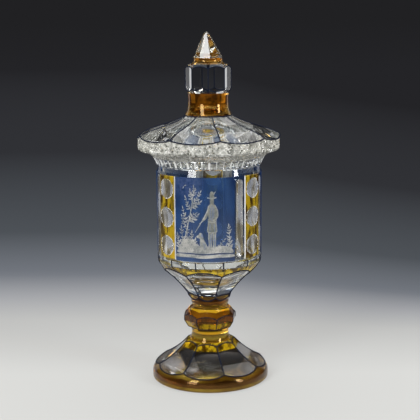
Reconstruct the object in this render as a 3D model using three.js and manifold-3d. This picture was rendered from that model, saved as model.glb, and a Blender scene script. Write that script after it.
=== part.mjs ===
// Covered goblet of cut glass with amber and blue staining. Millimetres, +Z up, origin at the middle
// of the foot's underside. Angles are in degrees from the front (-Y), turning towards +X.
// The goblet and its cover are two loose pieces. Each is a stack of gathers fused while hot.

import * as THREE from "three";
import { mergeVertices } from "three/addons/utils/BufferGeometryUtils.js";
import Module from "manifold-3d";

const wasm = await Module();
wasm.setup();

// Cutting pattern
const roundSides = 48;
const gobletPetals = 8;
const gobletRidgeAngle = 15;
const coverPetals = 9;
const coverRidgeAngle = 9;
const knopSides = 8;
const stemKnopRidgeAngle = 15;
const coverKnopRidgeAngle = 0;
const cutOverrun = 2;
const fusedGap = 0.3;

// Foot
const footRadius = 56.1;
const footHeight = 37;
const footEdgeChamfer = 0.8;
const footRimHeight = 5.4;
const footShoulderHeight = 12.3;
const footShoulderInset = 3.1;
const footTopRadius = 19.8;
const footSwell = 4;
const footPetalHollow = 8;

// Stem below the knop
const lowerStemHeight = 13.2;
const lowerStemWaist = 1.8;
const lowerStemTopRadius = 19.4;

// Stem knop
const stemKnopRadius = 25.4;
const stemKnopHeight = 19.8;
const stemKnopSeatRadius = 20.4;
const stemKnopBevelHeight = 6.3;
const stemKnopGirdle = 4.2;
const stemKnopShoulderRadius = 23.2;
const stemKnopShoulderHeight = 2.8;
const stemKnopTopRadius = 17.4;

// Ring between the knop and the bowl
const upperStemHeight = 13.2;
const upperStemRadius = 18.3;
const upperStemStraightHeight = 7.3;
const upperStemTopRadius = 22.3;
const upperStemGroove = 1.5;
const upperStemGrooveHeight = 1.5;

// Bowl
const bowlRadius = 49;
const bowlWall = 5.6;
const bowlWallHeight = 86;
const bowlFloorThickness = 14;
const bowlFloorRounding = 26;
const coneHeight = 38.8;
const coneBottomRadius = 23.5;
const coneRidgeTopHeight = 23;
const coneRidgeTopRadius = 43.2;
const coneSwell = 2.5;
const shoulderBandHeight = 7;
const shoulderBandRadius = 49.8;
const shoulderLowerRadius = 47.2;
const shoulderLowerHeight = 4.5;
const topBandHeight = 7.25;
const collarHeight = 7.25;
const collarBottomRadius = 49.6;
const collarTopRadius = 52.7;
const collarFlutes = 48;
const collarFluteDepth = 0.7;
const rimChamfer = 0.6;

// Petals of the cone
const conePetalBottomRadius = 19.9;
const conePetalTopRadius = 46;
const conePetalTopHeight = 27.85;
const conePetalHollow = 4;
const conePetalTail = 5.9;

// Panels and columns round the bowl
const panelCount = 3;
const panelAngle = -5.25;
const panelHalfAngle = 33;
const panelThickness = 1.3;
const panelProud = 0.8;
const columnHalfAngle = 12.75;
const leftColumnShift = 12.75;
const columnProud = 0.8;
const printieCount = 3;
const printiePitch = 26.6;
const printieRadius = 28;
const printieDepth = 1.6;
const fluteRadius = 7;
const fluteDepth = 1.3;
const fluteGap = 7;

// Cover
const lipClearance = 0.9;
const lipWall = 4;
const lipDepth = 8;
const flangeRadius = 66.8;
const flangeSeatRadius = 53;
const flangeHeight = 21.6;
const flangeUndersideHeight = 6.05;
const flangeUndersideRadius = 65.5;
const flangeUndersideHollow = 2.3;
const flangeTopRadius = 65.3;
const flangeEdgeBottom = 8.2;
const flangeEdgeTop = 19.6;
const flangeFlutes = 72;
const flangeFluteDepth = 0.6;
const domeHeight = 15.65;
const domeBlankTopRadius = 25;
const domeCavityTopRadius = 11;
const domeCavityFootHeight = 14.5;
const domeCavityHollow = 3.5;

// Profile of the dome's petals: heights above the seat of its two ends, and of the two points that
// pull the curve between them, hollow by the neck and full by the flange
const domePetalToeHeight = 15.95;
const domePetalOuterRadius = 51;
const domePetalOuterHeight = 29.2;
const domePetalInnerRadius = 34;
const domePetalInnerHeight = 27.55;
const domePetalHeelRadius = 20.6;
const domePetalHeelHeight = 37.85;

// Cover neck, knop and spire
const coverNeckHeight = 21.5;
const coverNeckBottomRadius = 22;
const coverNeckWaist = 2.6;
const coverNeckTopRadius = 19.2;
const coverNeckHollowHeight = 9.5;
const coverKnopRadius = 21.3;
const coverKnopHeight = 26.6;
const coverKnopEndRadius = 18.3;
const coverKnopBevelHeight = 4.6;
const spireNeckHeight = 5.4;
const spireNeckRadius = 13.2;
const spireNeckFlare = 2.3;
const spireRadius = 13.9;
const spireHeight = 24;
const spireTipRadius = 2.5;
const spireTipHeight = 1.6;
const spireSides = 8;
const spireLean = 1.4;
const spireRidgeAngle = 9;

// Heights above the table where each gather starts
const lowerStemBase = footHeight;
const stemKnopBase = lowerStemBase + lowerStemHeight;
const upperStemBase = stemKnopBase + stemKnopHeight;
const bowlBase = upperStemBase + upperStemHeight;
const bowlHeight = coneHeight + bowlWallHeight + collarHeight;
const coverBase = bowlBase + bowlHeight;
const coverNeckBase = coverBase + flangeHeight + domeHeight;
const coverKnopBase = coverNeckBase + coverNeckHeight;
const spireBase = coverKnopBase + coverKnopHeight;

// Heights on the bowl, above its own base
const bowlInnerRadius = bowlRadius - bowlWall;
const wallTop = coneHeight + bowlWallHeight;
const panelBottom = coneHeight + cutOverrun / 2;
const panelTop = wallTop - topBandHeight;
const panelHeight = panelTop - panelBottom;

const radians = THREE.MathUtils.degToRad;

function point(radius, height) {
  return new THREE.Vector2(radius, height);
}

// Profile points from one point to another, bowed away from the axis, or towards it where bow is
// negative. Bias says how far along the deepest place lies.
function bowed(from, to, bow, bias = 0.5, steps = 4) {
  const along = to.clone().sub(from);
  const side = new THREE.Vector2(along.y, -along.x).normalize();
  const middle = from.clone().lerp(to, bias).addScaledVector(side, bow);
  return new THREE.QuadraticBezierCurve(from, middle, to).getPoints(steps);
}

// A closed manifold solid from a geometry, with the flat triangles on the axis left out.
function solidFrom(geometry) {
  geometry.deleteAttribute("normal");
  geometry.deleteAttribute("uv");
  const merged = mergeVertices(geometry);
  const corners = merged.index.array;
  const kept = [];
  for (let i = 0; i < corners.length; i += 3) {
    const [a, b, c] = corners.slice(i, i + 3);
    if (a !== b && b !== c && c !== a) kept.push(a, b, c);
  }
  const vertProperties = merged.attributes.position.array;
  return new wasm.Manifold(new wasm.Mesh({ numProp: 3, vertProperties, triVerts: Uint32Array.from(kept) }));
}

// A profile turned round the vertical axis.
function turned(profile, sides = roundSides, firstAngle = 0) {
  const geometry = new THREE.LatheGeometry(profile, sides, radians(firstAngle));
  return solidFrom(geometry.rotateX(Math.PI / 2));
}

// A profile cut as flat sides: its radii are those of the flats, and a ridge lies at ridgeAngle.
function flatSided(profile, sides, ridgeAngle) {
  const overCorners = 1 / Math.cos(Math.PI / sides);
  const corners = profile.map(({ x, y }) => point(x * overCorners, y));
  return turned(corners, sides, ridgeAngle);
}

// A turned profile with upright V flutes of the given depth cut all round it.
function fluted(profile, flutes, depth) {
  const geometry = new THREE.LatheGeometry(profile, flutes * 2);
  const position = geometry.attributes.position;
  for (let i = 0; i < position.count; i += 1) {
    const column = Math.floor(i / profile.length);
    const radius = profile[i % profile.length].x;
    if (column % 2 === 0 || radius < depth) continue;
    const shrink = (radius - depth) / radius;
    position.setXYZ(i, position.getX(i) * shrink, position.getY(i), position.getZ(i) * shrink);
  }
  return solidFrom(geometry.rotateX(Math.PI / 2));
}

// A part of a ring: a curved plate from one radius to another, centred on an angle.
function curvedPlate(inner, outer, angle, halfAngle, bottom, height) {
  const middle = radians(angle - 90);
  const half = radians(halfAngle);
  const outline = new THREE.Shape();
  outline.absarc(0, 0, outer, middle - half, middle + half, false);
  outline.absarc(0, 0, inner, middle + half, middle - half, true);
  const geometry = new THREE.ExtrudeGeometry(outline, {
    depth: height,
    bevelEnabled: false,
    curveSegments: Math.ceil((roundSides * halfAngle) / 180),
  });
  return solidFrom(geometry.translate(0, 0, bottom));
}

// The middle angles of the panels, or of what stands a given angle past each.
function panelAngles(past = 0) {
  return Array.from({ length: panelCount }, (_, i) => panelAngle + past + (i * 360) / panelCount);
}

function meshOf(name, solid, material, height) {
  const { vertProperties, triVerts } = solid.getMesh();
  const geometry = new THREE.BufferGeometry();
  geometry.setAttribute("position", new THREE.BufferAttribute(vertProperties, 3));
  geometry.setIndex(new THREE.BufferAttribute(triVerts, 1));
  geometry.computeVertexNormals();
  const mesh = new THREE.Mesh(geometry, material);
  mesh.name = name;
  mesh.position.z = height;
  return mesh;
}

// Spreading foot, cut with hollow petals that run out on its rounded shoulder.
function foot() {
  const shoulder = point(footRadius - footShoulderInset, footShoulderHeight);
  const top = point(footTopRadius, footHeight);
  const blank = turned([
    point(0, 0),
    point(footRadius - footEdgeChamfer, 0),
    point(footRadius, footEdgeChamfer),
    ...bowed(point(footRadius, footRimHeight), shoulder, footShoulderInset / 2, 0.5, 4),
    ...bowed(shoulder, top, footSwell).slice(1),
    point(0, footHeight),
  ]);
  const toe = point(footRadius + cutOverrun, footShoulderHeight - cutOverrun);
  const heel = point(footTopRadius - fusedGap, footHeight + cutOverrun);
  const petals = flatSided(
    [point(0, -cutOverrun), point(toe.x, -cutOverrun), ...bowed(toe, heel, -footPetalHollow), point(0, heel.y)],
    gobletPetals,
    gobletRidgeAngle,
  );
  return blank.intersect(petals);
}

// Plain waisted stem between the foot and the knop.
function lowerStem() {
  return turned([
    point(0, 0),
    ...bowed(point(footTopRadius, 0), point(lowerStemTopRadius, lowerStemHeight), -lowerStemWaist),
    point(0, lowerStemHeight),
  ]);
}

// Knop with flat sides, bevelled at both ends.
function stemKnop() {
  const barrel = stemKnopRadius + fusedGap;
  const girdleTop = stemKnopBevelHeight + stemKnopGirdle;
  const blank = turned([
    point(0, 0),
    point(stemKnopSeatRadius, 0),
    point(barrel, stemKnopBevelHeight),
    point(barrel, girdleTop),
    point(stemKnopShoulderRadius, girdleTop + stemKnopShoulderHeight),
    point(stemKnopTopRadius, stemKnopHeight),
    point(0, stemKnopHeight),
  ]);
  return blank.intersect(knopSidesOf(stemKnopRadius, stemKnopHeight, stemKnopRidgeAngle));
}

// The flat sides of a knop, as a prism through its whole height.
function knopSidesOf(cornerRadius, height, ridgeAngle) {
  const sides = [
    point(0, -cutOverrun),
    point(cornerRadius, -cutOverrun),
    point(cornerRadius, height + cutOverrun),
    point(0, height + cutOverrun),
  ];
  return turned(sides, knopSides, ridgeAngle);
}

// Ring under the bowl, with a groove at its foot. The petals of the cone run out on it.
function upperStem() {
  const blank = turned([
    point(0, 0),
    point(upperStemRadius - upperStemGroove, 0),
    point(upperStemRadius - upperStemGroove, upperStemGrooveHeight),
    point(upperStemRadius - upperStemGroove / 2, upperStemGrooveHeight + upperStemGroove / 2),
    point(upperStemRadius, upperStemStraightHeight),
    point(upperStemTopRadius, upperStemHeight),
    point(0, upperStemHeight),
  ]);
  return blank.intersect(conePetals(upperStemHeight));
}

// The solid that the petals of the cone leave, with the bowl's base at the given height.
function conePetals(base) {
  const tail = point(upperStemRadius + fusedGap, base - conePetalTail);
  const waist = point(conePetalBottomRadius, base);
  const top = point(conePetalTopRadius, base + conePetalTopHeight);
  const slope = top.clone().sub(waist);
  const past = top.clone().addScaledVector(slope, cutOverrun / slope.length());
  const outside = bowlRadius + collarTopRadius;
  const above = base + bowlHeight + cutOverrun;
  const profile = [
    point(0, base - upperStemHeight - cutOverrun),
    point(outside, base - upperStemHeight - cutOverrun),
    point(outside, tail.y - cutOverrun),
    point(tail.x, tail.y - cutOverrun),
    tail,
    ...bowed(waist, past, -conePetalHollow),
    point(outside, past.y + cutOverrun),
    point(outside, above),
    point(0, above),
  ];
  return flatSided(profile, gobletPetals, gobletRidgeAngle);
}

// Outside of the bowl before the petals are cut: cone, shoulder band, wall and collar.
function bowlBlank() {
  const ridgeTop = point(coneRidgeTopRadius, coneRidgeTopHeight);
  const bandBottom = coneHeight - shoulderBandHeight;
  const body = turned([
    point(0, 0),
    ...bowed(point(coneBottomRadius, 0), ridgeTop, coneSwell),
    point(shoulderLowerRadius, bandBottom - shoulderLowerHeight / 2),
    point(shoulderBandRadius - fusedGap, bandBottom),
    point(shoulderBandRadius, coneHeight - fusedGap),
    point(bowlRadius, coneHeight + (shoulderBandRadius - bowlRadius)),
    point(bowlRadius, wallTop - rimChamfer),
    point(collarBottomRadius, wallTop),
    point(collarBottomRadius, wallTop + rimChamfer),
    point(0, wallTop + rimChamfer),
  ]);
  const collar = fluted(
    [
      point(0, wallTop),
      point(collarBottomRadius, wallTop),
      point(collarTopRadius, bowlHeight - rimChamfer),
      point(collarTopRadius - rimChamfer, bowlHeight),
      point(0, bowlHeight),
    ],
    collarFlutes,
    collarFluteDepth,
  );
  return body.add(collar);
}

// Inside of the bowl: a straight wall and a rounded floor over a thick base.
function bowlCavity() {
  const floor = point(0, bowlFloorThickness);
  const wallFoot = point(bowlInnerRadius, bowlFloorThickness + bowlFloorRounding);
  const corner = point(bowlInnerRadius, bowlFloorThickness);
  return turned([
    ...new THREE.QuadraticBezierCurve(floor, corner, wallFoot).getPoints(5),
    point(bowlInnerRadius, bowlHeight - rimChamfer),
    point(bowlInnerRadius + rimChamfer, bowlHeight),
    point(bowlInnerRadius + rimChamfer, bowlHeight + cutOverrun),
    point(0, bowlHeight + cutOverrun),
  ]);
}

// Middles of the columns between the panels. The one to the left of the front panel stands close to it.
function columnAngles() {
  const angles = panelAngles(180 / panelCount);
  angles[panelCount - 1] += leftColumnShift;
  return angles;
}

// Amber columns that stand between the panels.
function columns() {
  const inner = bowlRadius - bowlWall / 2;
  const outer = bowlRadius + columnProud;
  return columnAngles().map((angle) =>
    curvedPlate(inner, outer, angle, columnHalfAngle, panelBottom, panelHeight),
  );
}

// Round lens cuts, or printies, in a row up the middle of each column.
function printies() {
  const reach = bowlRadius + columnProud + printieRadius - printieDepth;
  const lowest = (panelBottom + panelTop - (printieCount - 1) * printiePitch) / 2;
  const cuts = [];
  for (const angle of columnAngles()) {
    for (let i = 0; i < printieCount; i += 1) {
      const ball = new THREE.SphereGeometry(printieRadius, 36, 18);
      ball.rotateZ(radians(angle));
      ball.translate(reach * Math.sin(radians(angle)), -reach * Math.cos(radians(angle)), lowest + i * printiePitch);
      cuts.push(solidFrom(ball));
    }
  }
  return cuts;
}

// Middles of the flutes, one down each side of every panel. The one to the left of the front panel
// stands on the far side of the column there.
function fluteAngles() {
  const left = panelAngles(-panelHalfAngle - fluteGap);
  left[0] = columnAngles()[panelCount - 1] - columnHalfAngle - fluteGap;
  return [...left, ...panelAngles(panelHalfAngle + fluteGap)];
}

// Upright hollow flutes.
function flutes() {
  const reach = bowlRadius + fluteRadius - fluteDepth;
  const straight = panelHeight - 2 * fluteRadius;
  return fluteAngles().map((angle) => {
    const rod = new THREE.CapsuleGeometry(fluteRadius, straight, 3, 16).rotateX(Math.PI / 2);
    rod.translate(reach * Math.sin(radians(angle)), -reach * Math.cos(radians(angle)), (panelBottom + panelTop) / 2);
    return solidFrom(rod);
  });
}

// Shallow seats in the wall under the blue panels.
function panelSeats() {
  const seatRadius = bowlRadius + panelProud - panelThickness - fusedGap;
  return panelAngles().map((angle) =>
    curvedPlate(seatRadius, bowlRadius + cutOverrun, angle, panelHalfAngle, panelBottom, panelHeight),
  );
}

function bowl() {
  let solid = bowlBlank().intersect(conePetals(0));
  for (const column of columns()) solid = solid.add(column);
  for (const cut of [bowlCavity(), ...printies(), ...flutes(), ...panelSeats()]) solid = solid.subtract(cut);
  return solid;
}

// One blue panel: the coloured layer, left standing where the glass round it is cut away.
function bluePanel(angle) {
  const outer = bowlRadius + panelProud;
  const gapAngle = THREE.MathUtils.radToDeg(fusedGap / bowlRadius);
  return curvedPlate(
    outer - panelThickness,
    outer,
    angle,
    panelHalfAngle - gapAngle,
    panelBottom + fusedGap,
    panelHeight - 2 * fusedGap,
  );
}

// The solid that the petals of the dome leave, with the cover's seat at the given height.
function domePetals(seat) {
  const toe = point(flangeRadius + cutOverrun, seat + domePetalToeHeight);
  const outer = point(domePetalOuterRadius, seat + domePetalOuterHeight);
  const inner = point(domePetalInnerRadius, seat + domePetalInnerHeight);
  const heel = point(domePetalHeelRadius, seat + domePetalHeelHeight);
  const outside = flangeRadius + 2 * cutOverrun;
  const above = heel.x + cutOverrun;
  const profile = [
    point(0, seat - lipDepth - cutOverrun),
    point(outside, seat - lipDepth - cutOverrun),
    point(outside, toe.y - cutOverrun / 2),
    ...new THREE.CubicBezierCurve(toe, outer, inner, heel).getPoints(8),
    point(above, heel.y + cutOverrun),
    point(above, heel.y + coverNeckHeight),
    point(0, heel.y + coverNeckHeight),
  ];
  return flatSided(profile, coverPetals, coverRidgeAngle);
}

// Cover dome with its wide fluted flange and the lip that hangs inside the bowl's rim. Heights are
// above the seat, where the flange rests on the rim.
function coverDome() {
  const lipRadius = bowlInnerRadius - lipClearance;
  const top = flangeHeight + domeHeight;
  const hollowRadius = lipRadius - lipWall;
  const cavityFoot = point(hollowRadius, domeCavityFootHeight);
  const underside = bowed(
    point(flangeSeatRadius, 0),
    point(flangeUndersideRadius, flangeUndersideHeight),
    -flangeUndersideHollow,
    0.5,
    3,
  );
  const blank = turned([
    point(0, -lipDepth),
    point(lipRadius, -lipDepth),
    point(lipRadius, 0),
    ...underside,
    point(flangeRadius, flangeEdgeBottom),
    point(flangeRadius, flangeEdgeTop),
    point(flangeTopRadius, flangeHeight),
    point(domeBlankTopRadius, top),
    point(0, top),
  ]);
  const edge = fluted(
    [
      point(0, -lipDepth - cutOverrun),
      point(flangeSeatRadius, -lipDepth - cutOverrun),
      point(flangeSeatRadius, 0),
      point(flangeUndersideRadius + flangeFluteDepth, flangeUndersideHeight - cutOverrun),
      point(flangeRadius, flangeEdgeBottom),
      point(flangeRadius, flangeEdgeTop),
      point(flangeRadius, top + cutOverrun),
      point(0, top + cutOverrun),
    ],
    flangeFlutes,
    flangeFluteDepth,
  );
  const cavity = turned([
    point(0, -lipDepth - cutOverrun),
    point(hollowRadius, -lipDepth - cutOverrun),
    ...bowed(cavityFoot, point(domeCavityTopRadius, top), -domeCavityHollow, 0.6, 6),
    point(domeCavityTopRadius, top + cutOverrun),
    point(0, top + cutOverrun),
  ]);
  return blank.intersect(edge).intersect(domePetals(0)).subtract(cavity);
}

// Waisted neck of the cover. Its hollow foot carries on the inside of the dome.
function coverNeck() {
  const hollowFoot = point(domeCavityTopRadius, 0);
  const hollowTop = point(0, coverNeckHollowHeight);
  const hollowCorner = point(domeCavityTopRadius, coverNeckHollowHeight);
  const blank = turned([
    ...new THREE.QuadraticBezierCurve(hollowTop, hollowCorner, hollowFoot).getPoints(4),
    ...bowed(point(coverNeckBottomRadius, 0), point(coverNeckTopRadius, coverNeckHeight), -coverNeckWaist, 0.6),
    point(0, coverNeckHeight),
  ]);
  return blank.intersect(domePetals(-flangeHeight - domeHeight));
}

// Knop of the cover: flat sides with bevelled ends.
function coverKnop() {
  const barrel = coverKnopRadius + fusedGap;
  const blank = turned([
    point(0, 0),
    point(coverKnopEndRadius, 0),
    point(barrel, coverKnopBevelHeight),
    point(barrel, coverKnopHeight - coverKnopBevelHeight),
    point(coverKnopEndRadius, coverKnopHeight),
    point(0, coverKnopHeight),
  ]);
  return blank.intersect(knopSidesOf(coverKnopRadius, coverKnopHeight, coverKnopRidgeAngle));
}

// Spire: a round neck under a pointed, flat-sided finial whose point leans a little.
function coverSpire() {
  const neck = turned([
    point(0, 0),
    ...bowed(point(spireNeckRadius + spireNeckFlare, 0), point(spireNeckRadius, spireNeckHeight), -spireNeckFlare / 2),
    point(0, spireNeckHeight),
  ]);
  const finial = new THREE.LatheGeometry(
    [
      point(0, spireNeckHeight),
      point(spireRadius, spireNeckHeight),
      point(spireTipRadius, spireNeckHeight + spireHeight - spireTipHeight),
      point(0, spireNeckHeight + spireHeight),
    ],
    spireSides,
    radians(spireRidgeAngle),
  ).rotateX(Math.PI / 2);
  const position = finial.attributes.position;
  for (let i = 0; i < position.count; i += 1) {
    const risen = (position.getZ(i) - spireNeckHeight) / spireHeight;
    position.setX(i, position.getX(i) - spireLean * risen);
  }
  return neck.add(solidFrom(finial));
}

// Glass finishes
function glass(color, roughness = 0.05) {
  return new THREE.MeshStandardMaterial({ color, roughness, metalness: 0 });
}

const goblet = new THREE.Group();
goblet.add(
  meshOf("foot", foot(), glass(0xc08a2a), 0),
  meshOf("lower_stem", lowerStem(), glass(0xb9801c), lowerStemBase),
  meshOf("stem_knop", stemKnop(), glass(0x9a5a12), stemKnopBase),
  meshOf("upper_stem", upperStem(), glass(0xb07a1c), upperStemBase),
  meshOf("bowl", bowl(), glass(0xd9dcd8), bowlBase),
);
const panelNames = ["blue_panel_front", "blue_panel_right", "blue_panel_left"];
panelAngles().forEach((angle, i) => {
  goblet.add(meshOf(panelNames[i] ?? `blue_panel_${i + 1}`, bluePanel(angle), glass(0x2c5aa0), bowlBase));
});

const cover = new THREE.Group();
cover.add(
  meshOf("cover_dome", coverDome(), glass(0xdde0e0), coverBase),
  meshOf("cover_neck", coverNeck(), glass(0xb5741a), coverNeckBase),
  meshOf("cover_knop", coverKnop(), glass(0xc9cdd4), coverKnopBase),
  meshOf("cover_spire", coverSpire(), glass(0xd8c490), spireBase),
);

const coveredGoblet = new THREE.Group();
coveredGoblet.add(goblet, cover);

export default coveredGoblet;
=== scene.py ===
"""Looks of a covered goblet of cut glass, stained amber and blue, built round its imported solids."""

import math
from functools import partial

import bmesh
import bpy
import numpy as np
from bpy.props import FloatProperty, FloatVectorProperty, PointerProperty
from bpy.types import Operator, Panel, PropertyGroup
from mathutils import Euler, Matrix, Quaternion, Vector


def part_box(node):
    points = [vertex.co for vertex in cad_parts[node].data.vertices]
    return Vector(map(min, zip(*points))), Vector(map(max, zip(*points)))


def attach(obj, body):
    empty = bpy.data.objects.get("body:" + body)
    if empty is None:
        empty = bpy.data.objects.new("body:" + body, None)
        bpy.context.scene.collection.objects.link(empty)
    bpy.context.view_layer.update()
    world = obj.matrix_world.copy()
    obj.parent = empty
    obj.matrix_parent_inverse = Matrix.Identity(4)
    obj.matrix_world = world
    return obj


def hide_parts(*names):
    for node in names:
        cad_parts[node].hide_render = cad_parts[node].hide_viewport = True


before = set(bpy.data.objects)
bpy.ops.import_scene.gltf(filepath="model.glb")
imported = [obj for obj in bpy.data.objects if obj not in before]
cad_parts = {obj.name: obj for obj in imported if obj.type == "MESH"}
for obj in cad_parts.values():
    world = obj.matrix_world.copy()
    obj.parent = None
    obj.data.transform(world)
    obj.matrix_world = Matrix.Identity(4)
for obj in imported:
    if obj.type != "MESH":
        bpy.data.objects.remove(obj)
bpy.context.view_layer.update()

bl_info = {
    "name": "Covered goblet",
    "version": (1, 0, 0),
    "blender": (4, 5, 0),
    "location": "View3D > Sidebar > Goblet",
    "description": "Builds the glass of a covered goblet and its studio",
    "category": "Object",
}

MM = 0.001
FULL_TURN = 2 * math.pi
SHARP_EDGE = math.radians(9)

# Cutting pattern, in degrees from the front, turning towards +X
GOBLET_PETALS = 8
GOBLET_RIDGE = 15.0
COVER_PETALS = 9
COVER_RIDGE = 9.0
COVER_KNOP_RIDGE = 0.0
SPIRE_RIDGE = 9.0
PANEL_COUNT = 3
PANEL_ANGLE = -5.25
PANEL_HALF = 33.0
COLUMN_HALF = 12.75
LEFT_COLUMN_SHIFT = 12.75
FLUTE_GAP = 7.0

# How far a cutting profile overruns the blank, and the step between two gathers, in millimetres
OVERRUN = 2.0
FUSED_GAP = 0.3

# Profiles: arrays of (radius, height) in millimetres


def span(node):
    """Base, top and greatest radius of a CAD node."""
    low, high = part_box(node)
    return low.z / MM, high.z / MM, max(high.x, -low.x, high.y, -low.y) / MM


def joined(*runs):
    """One profile from several runs of points."""
    return np.concatenate([np.atleast_2d(np.array(run, float)) for run in runs])


def curve(*points, steps):
    """A curve from the first point to the last, pulled towards those between."""
    t = np.linspace(0, 1, steps + 1)[:, None]
    runs = [np.array(point, float) for point in points]
    while len(runs) > 1:
        runs = [a * (1 - t) + b * t for a, b in zip(runs, runs[1:])]
    return runs[0]


def bowed(start, end, bow, bias=0.5, steps=24):
    """Points from start to end, bowed away from the axis, or towards it where bow is negative."""
    start, end = np.array(start, float), np.array(end, float)
    along = end - start
    side = np.array((along[1], -along[0])) / np.hypot(*along)
    return curve(start, start + along * bias + side * bow, end, steps=steps)


def softened(profile, passes, spacing=0.25):
    """An upright profile resampled by height, with its corners softened."""
    heights = np.arange(profile[0, 1], profile[-1, 1] + spacing, spacing)
    heights[-1] = profile[-1, 1]
    radii = radius_at(profile, heights)
    for _ in range(passes):
        radii[1:-1] = (radii[:-2] + 2 * radii[1:-1] + radii[2:]) / 4
    return np.stack([radii, heights], axis=1)


def radius_at(profile, heights):
    """Radius of an upright profile at each height."""
    return np.interp(heights, profile[:, 1], profile[:, 0])


def rows_between(profile, start, end, steps, stretch=1.0):
    """Rows up a profile from one height to another, without the first."""
    heights = [start + (end - start) * i / steps for i in range(1, steps + 1)]
    return [(radius_at(profile, z) * stretch, z) for z in heights]


# Angles and points round the axis


def turn_angles(columns, start=0.0):
    """Column angles round a turn, in radians, with one at the start angle."""
    return math.radians(start) + np.arange(columns) * FULL_TURN / columns


def repeated(first, count):
    """Angles in degrees, spaced evenly round a turn."""
    return [first + i * 360 / count for i in range(count)]


def away_from(angles, centre):
    """Signed angle from a centre given in degrees, in radians."""
    return (angles - math.radians(centre) + math.pi) % FULL_TURN - math.pi


def points_round(angles, radii, heights):
    return np.stack(np.broadcast_arrays(radii * np.sin(angles), -radii * np.cos(angles), heights), axis=-1)


# Meshes

CLEAR = "clear_glass"
FUSED = "fused_joint"


def add_object(name, data):
    made = bpy.data.objects.new(name, data)
    bpy.context.collection.objects.link(made)
    return made


def mesh_object(name, verts, faces, finishes, sharp=SHARP_EDGE):
    """A smooth mesh object from millimetre vertices, with the name of a finish for each face."""
    slots = {kind: i for i, kind in enumerate(sorted(set(finishes)))}
    mesh = bpy.data.meshes.new(name)
    mesh.from_pydata((np.array(verts) * MM).tolist(), [], faces)
    for kind in slots:
        mesh.materials.append(finish(kind))
    mesh.polygons.foreach_set("material_index", [slots[kind] for kind in finishes])
    mesh.shade_smooth()
    mesh.set_sharp_from_angle(angle=sharp)
    mesh.update()
    return add_object(name, mesh)


def quads(grid):
    """Faces between neighbours in a grid of vertex numbers. One that a face meets twice counts once."""
    corners = grid[:-1, :-1], grid[:-1, 1:], grid[1:, 1:], grid[1:, :-1]
    return [tuple(dict.fromkeys(face)) for face in np.stack(corners, axis=-1).reshape(-1, 4).tolist()]


def dress(piece, body, slot=None, *nodes):
    """Puts a piece on the body that carries it and hides the CAD nodes it stands for. slot is not used."""
    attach(piece, body)
    if nodes:
        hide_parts(*nodes)
    return piece


class Turning:
    """A closed surface round the axis, laid down row by row from one end of its profile to the other."""

    def __init__(self, angles):
        self.angles = angles
        self.rows, self.bands = [], []

    def row(self, radius, height, kind=CLEAR):
        """Adds a row. The finish is that of the band between it and the row before."""
        if self.rows:
            self.bands.append(np.broadcast_to(kind, len(self.angles)))
        self.rows.append([np.broadcast_to(value, len(self.angles)) for value in (radius, height)])

    def path(self, rows, kind=CLEAR):
        """Adds a row for each pair of a radius and a height, which may vary round the turn."""
        for radius, height in rows:
            self.row(radius, height, kind)

    def start(self, radius, height):
        """Starts with a flat end, fused to the gather below."""
        self.path([(0, height), (radius / 2, height), (radius, height)], FUSED)

    def end(self, radius, height):
        """Ends with a flat end, fused to the gather above."""
        self.path([(radius / 2, height), (0, height)], FUSED)

    def make(self, node, body, slot, lean=0.0):
        """Makes the piece that stands for a node. Its top leans by so many millimetres to the left."""
        verts, rings = [], []
        for radius, height in self.rows:
            ring = points_round(self.angles, radius, height)
            ring = ring if radius.max() > 0 else ring[:1]
            rings.append(np.broadcast_to(len(verts) + np.arange(len(ring)), len(self.angles)))
            verts.extend(ring)
        verts = np.array(verts)
        if lean:
            shelf, top = verts[0, 2] + SPIRE["neck_height"], verts[-1, 2]
            verts[:, 0] -= lean * np.maximum(0, (verts[:, 2] - shelf) / (top - shelf))
        faces = quads(np.pad(rings, ((0, 0), (0, 1)), "wrap"))
        piece = mesh_object(node + "_glass", verts, faces, np.concatenate(self.bands))
        return dress(piece, body, slot, node)


def flats_stretch(angles, sides, ridge):
    """How much further out than its middle a flat lies, at each angle."""
    off = (angles - math.radians(ridge)) % (FULL_TURN / sides) - math.pi / sides
    return 1 / np.cos(off)


def crossings(heights, gap):
    """First and last height of each row of gap that is above nought."""
    ends = []
    for order in (1, -1):
        h, g = heights[::order], gap[:, ::order]
        at = (g > 0).argmax(axis=1)
        before = np.maximum(at - 1, 0)
        rows = np.arange(len(g))
        g0, g1 = g[rows, before], g[rows, at]
        share = np.where(at > 0, g0 / np.where(g0 == g1, 1, g0 - g1), 0)
        ends.append(h[before] + (h[at] - h[before]) * share)
    return ends


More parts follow.
